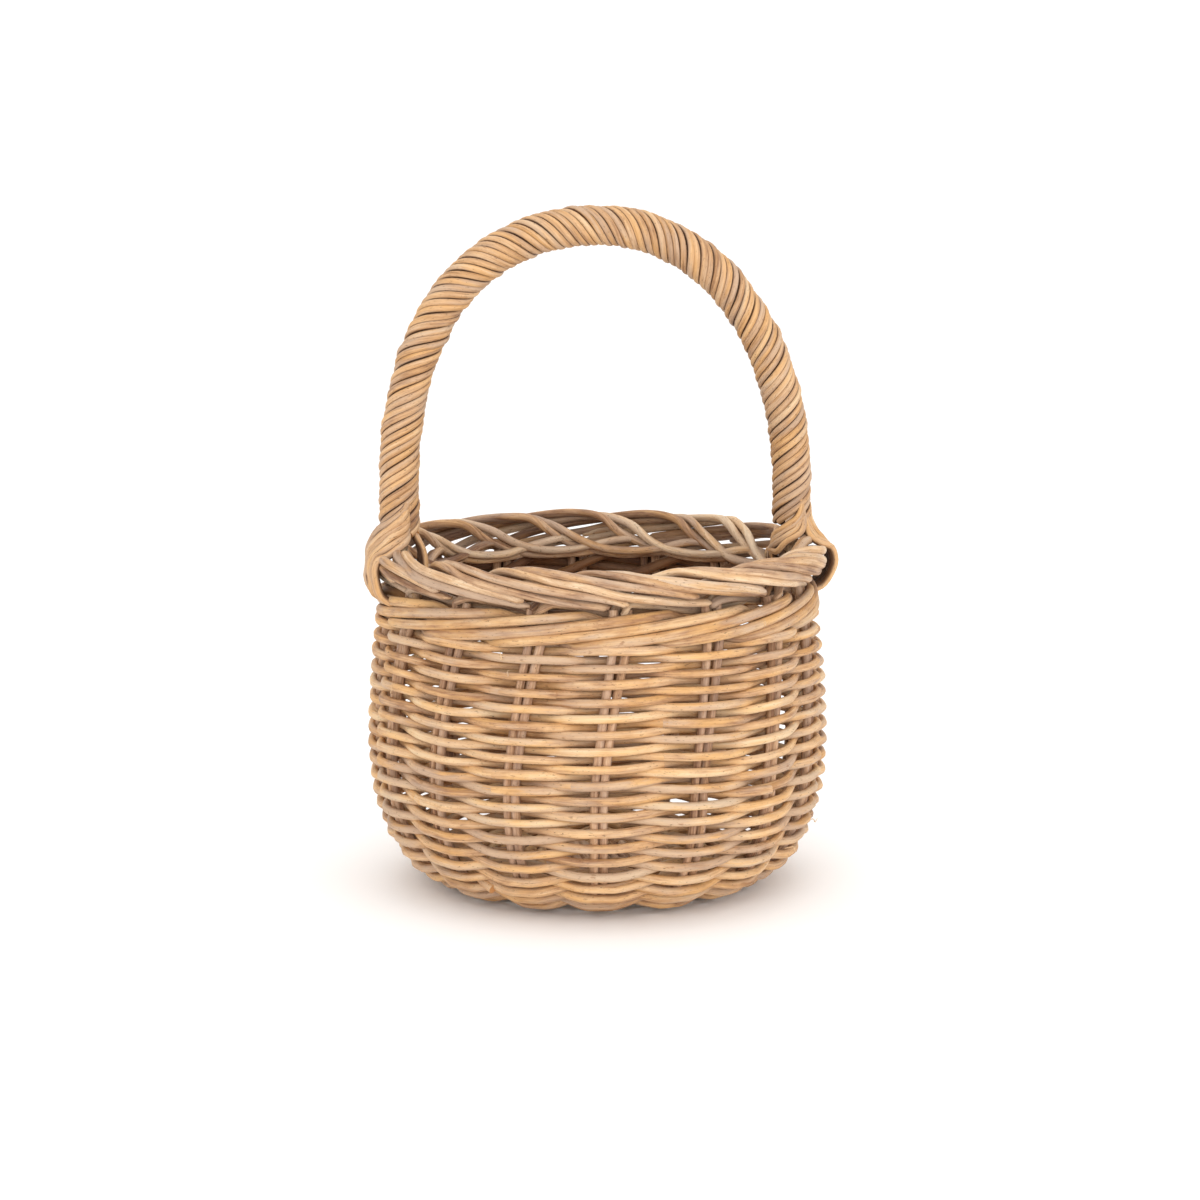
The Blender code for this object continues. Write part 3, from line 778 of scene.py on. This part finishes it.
def buildBow():
    run, x, z, alongX, alongZ = bowLine()
    total = run[-1]
    groups = {"left": [], "crown": [], "right": []}
    for cane in range(bow["canes"]):
        drift = slowWave(run / total * 2 * math.pi, 0.05, 1, 9)
        spin = 2 * math.pi * (cane / bow["canes"] + run / bow["pitch"]) + drift
        far = bow["wound"] + slowWave(run / total * 2 * math.pi, bow["looseness"], 2, 12)
        # the outer side of the bow is (-alongZ, alongX) in its plane; the other way across is -Y
        acrossX, acrossZ = -alongZ, alongX
        points = np.stack([x + far * np.cos(spin) * acrossX, -far * np.sin(spin),
                           z + far * np.cos(spin) * acrossZ], axis=1)
        tone = rng.uniform(0, 1)
        outward, over = outwardFrames(points, np.stack([x, 0 * x, z], axis=1))
        length = np.concatenate([[0], np.cumsum(np.linalg.norm(np.diff(points, axis=0), axis=1))])
        thick = bow["caneRadius"] * (1 + slowWave(run / total * 9, 0.03, 2, 9))
        ends = [0] + [int(len(run) * share) for share in bow["joints"]] + [len(run)]
        for label, low, high in zip(groups, ends, ends[1:]):
            high = min(high + 1, len(run))
            one = strand(points[low:high], bow["caneRadius"], tone)
            # the three lengths of a cane carry on its thickness and its pattern
            one["thick"] = thick[low:high]
            one["frames"] = (outward[low:high], over[low:high])
            one["turn"] = cane
            # painted shade in the grooves between the wound canes
            one["paintedShade"] = paintedGrooveShade(high - low, bow["sides"], 0.72, 0.34)
            one["start"] = cane * 3.1 + float(length[low])
            groups[label].append(one)
    for label, strands in groups.items():
        strandPiece(f"bow_wrap_{label}", strands, wrapCane, f"handle_wrap_{label}",
                    bow["sides"])
    # the core goes on down through the border and behind the wale, thinned to pass between the pairs
    below = [(px * mm, 0, pz * mm) for px, pz in bow["corePath"]]
    core = [(px, 0, pz) for px, pz in zip(x[::6], z[::6])]
    left = [(-px, py, pz) for px, py, pz in below]
    path = smoothRun(np.array(left + core + below[::-1]), 2.5 * mm)
    one = strand(path, bow["coreRadius"], 0.7)
    taper = np.array(bow["coreTaper"]) * mm
    one["thick"] = np.interp(path[:, 2], taper[:, 0], taper[:, 1])
    strandPiece("bow_core_rod", [one], coreCane, "handle_core", bow["coreSides"])


buildBow()
print("bow wrapped")

# Feet: the ends of the wrap canes swoop over the border, outside and inside. Each row is distance out
# from the middle, distance towards the front and height, in mm, and then what each further cane adds
# to them.
feet = {
    "radius": 1.64 * mm,
    "sides": 16,
    "legFoot": 154,
    "rollHeight": 143 * mm,
    "outer_left": (6, (
        ((84.6, 1.6, 175), (0, 0, -2.8)),
        ((86.3, 7.9, 168.5), (-0.2, 0.4, -2.6)),
        ((92.5, 8.0, 163.5), (-0.2, 1.0, -2.4)),
        ((97.6, 4.2, 158), (-0.2, 2.2, -1.8)),
        ((100.6, 0.8, 151.5), (0, 2.9, -0.9)),
        ((101.2, -1.4, 144.5), (0, 3.3, -0.3)),
        ((101.0, -1.6, 138), (0, 3.4, 0)),
        ((99.4, -1.4, 133), (0, 3.3, 0)),
        ((95.6, -1.0, 129.6), (0, 3.2, 0)),
        ((91.0, -0.6, 127.6), (0, 3.1, 0)),
    )),
    "outer_right": (5, (
        ((90.4, -3.0, 175), (-0.4, 1.3, -2.2)),
        ((94.6, -2.0, 165), (-0.8, 2.4, -1.8)),
        ((95.8, 0.5, 158), (-0.5, 2.6, -1.4)),
        ((98.2, 2.0, 152.5), (-0.2, 2.9, -0.8)),
        ((102.0, 2.0, 147.5), (0, 3.2, -0.2)),
        ((103.9, 1.6, 141.5), (0, 3.4, 0)),
        ((103.0, 1.0, 136), (0, 3.4, 0)),
        ((99.6, 0.4, 131.4), (0, 3.3, 0)),
        ((95.4, 0, 129), (0, 3.3, 0)),
        ((91.0, 0, 127.4), (0, 3.2, 0)),
    )),
    "inner_left": (4, (
        ((87.5, -4.0, 174), (0, 0.6, -1.3)),
        ((83.5, -6.4, 163), (0, 2.0, -0.8)),
        ((80.6, -3.2, 156), (0, 3.0, -0.4)),
        ((78.9, -0.4, 150), (0, 3.2, 0)),
        ((79.2, 1.6, 143.5), (0, 3.2, 0)),
        ((81.2, 2.6, 137.5), (0, 3.2, 0)),
        ((84.4, 2.8, 133.2), (0, 3.2, 0)),
    )),
    "inner_right": (4, (
        ((91.0, 2.4, 173), (0, 0.3, -2.8)),
        ((88.8, 8.6, 161.5), (0, 0.7, -2.5)),
        ((83.0, 8.8, 156.5), (0, 0.9, -2.2)),
        ((79.4, 5.2, 152.5), (0, 0.6, -2.2)),
        ((78.8, 0.8, 147), (0, -1.6, -0.8)),
        ((80.0, -1.6, 141), (0, -2.6, 0)),
        ((83.2, -2.4, 135), (0, -3.0, 0)),
    )),
}


def buildFeet():
    for name in ("outer_left", "outer_right", "inner_left", "inner_right"):
        canes, rows = feet[name]
        first, step = np.array(rows, float).transpose(1, 0, 2)
        side = -1 if name.endswith("left") else 1
        strands = []
        for order in range(canes):
            rows = first + step * order
            rows[1:] += rng.normal(size=(len(rows) - 1, 3)) * (0.3, 0.35, 0.4)
            # below the leg the canes follow the curve of the rim
            below = rows[:, 2] < feet["legFoot"]
            rows[below, 0] = np.sqrt(rows[below, 0] ** 2 - rows[below, 1] ** 2)
            path = smoothRun(np.stack([side * rows[:, 0], -rows[:, 1], rows[:, 2]], axis=1) * mm, 1.8 * mm)
            one = strand(path, feet["radius"] * rng.uniform(0.92, 1.05))
            # the canes bend round the leg, and below it round the roll of the border
            middle = np.stack([np.full(len(path), side * bow["halfSpan"]), 0 * path[:, 0],
                               np.maximum(path[:, 2], feet["rollHeight"])], axis=1)
            one["frames"] = outwardFrames(path, middle)
            # painted shade in the grooves between the canes
            one["paintedShade"] = paintedGrooveShade(len(path), feet["sides"], 0.68, 0.38)
            strands.append(one)
        strandPiece(f"foot_canes_{name}", strands, wrapCane, f"foot_lashing_{name}",
                    feet["sides"])


buildFeet()
print("feet lashed")

# Studio: a pale floor that runs up behind, a key light, a fill and a top light, all big and soft
studio = {
    "distance": 1.40,
    "lens": 95.9,
    "sensor": 36,
    "azimuth": -12.0,
    "elevation": 9.4,
    "aimHeight": 124.6 * mm,
    "aimRight": 1.0 * mm,
    "floor": "#FCFBFA",
    "floorHeight": -0.2 * mm,
    "halfWidth": 6.0,
    "front": -6.0,
    "back": 3.0,
    "wallHeight": 4.0,
    "cove": 1.0,
    "coveSteps": 12,
    "sky": 1.0,
    "lightSize": 1.8,
    "lightAim": (0, 0, 0.13),
    "lights": (
        ("keySoftbox", (-0.9, -2.0, 0.95), 20.0),
        ("fillSoftbox", (1.3, -1.9, 0.7), 15.0),
        ("topSoftbox", (0.1, 0.4, 2.2), 9.0),
    ),
}


def lookAt(place, target):
    return (Vector(target) - Vector(place)).to_track_quat("-Z", "Y").to_euler()


def buildFloor():
    mesh = bpy.data.meshes.new("studio_floor")
    back = studio["back"]
    cove = studio["cove"]
    level = studio["floorHeight"]
    rows = [(studio["front"], level), (back - cove, level)]
    for i in range(1, studio["coveSteps"] + 1):
        turn = math.pi / 2 * i / studio["coveSteps"]
        rows.append((back - cove + cove * math.sin(turn), cove - cove * math.cos(turn) + level))
    rows.append((back, studio["wallHeight"]))
    points = [(x, y, z) for y, z in rows for x in (-studio["halfWidth"], studio["halfWidth"])]
    faces = [(2 * i, 2 * i + 1, 2 * i + 3, 2 * i + 2) for i in range(len(rows) - 1)]
    mesh.from_pydata(points, [], faces)
    mesh.shade_smooth()
    floor = bpy.data.objects.new("studio_floor", mesh)
    bpy.context.scene.collection.objects.link(floor)
    # matt backdrop paper: no shine, a little warmer than pure white
    paper = bpy.data.materials.new("mattBackdropPaper")
    paper.use_nodes = True
    shader = paper.node_tree.nodes["Principled BSDF"]
    shader.inputs["Base Color"].default_value = linear(studio["floor"])
    shader.inputs["Roughness"].default_value = 0.9
    mesh.materials.append(paper)


def buildLights():
    world = bpy.data.worlds.new("studioSky")
    bpy.context.scene.world = world
    world.use_nodes = True
    sky = world.node_tree.nodes["Background"]
    sky.inputs["Color"].default_value = (1, 1, 1, 1)
    sky.inputs["Strength"].default_value = studio["sky"]
    for name, place, power in studio["lights"]:
        light = bpy.data.lights.new(name, "AREA")
        light.shape = "SQUARE"
        light.size = studio["lightSize"]
        light.energy = power
        lamp = bpy.data.objects.new(name, light)
        bpy.context.scene.collection.objects.link(lamp)
        lamp.location = place
        lamp.rotation_euler = lookAt(place, studio["lightAim"])


def buildCamera():
    camera = bpy.data.objects.new("studioCamera", bpy.data.cameras.new("studioCamera"))
    bpy.context.scene.collection.objects.link(camera)
    side = math.radians(studio["azimuth"])
    up = math.radians(studio["elevation"])
    right = studio["aimRight"]
    aim = np.array([right * math.cos(side), right * math.sin(side), studio["aimHeight"]])
    away = np.array([math.sin(side) * math.cos(up), -math.cos(side) * math.cos(up), math.sin(up)])
    place = aim + away * studio["distance"]
    camera.location = place
    camera.rotation_euler = lookAt(place, aim)
    camera.data.lens = studio["lens"]
    camera.data.sensor_width = studio["sensor"]
    bpy.context.scene.camera = camera


buildFloor()
buildLights()
buildCamera()
print("studio ready")

bpy.context.scene.view_settings.view_transform = "Standard"
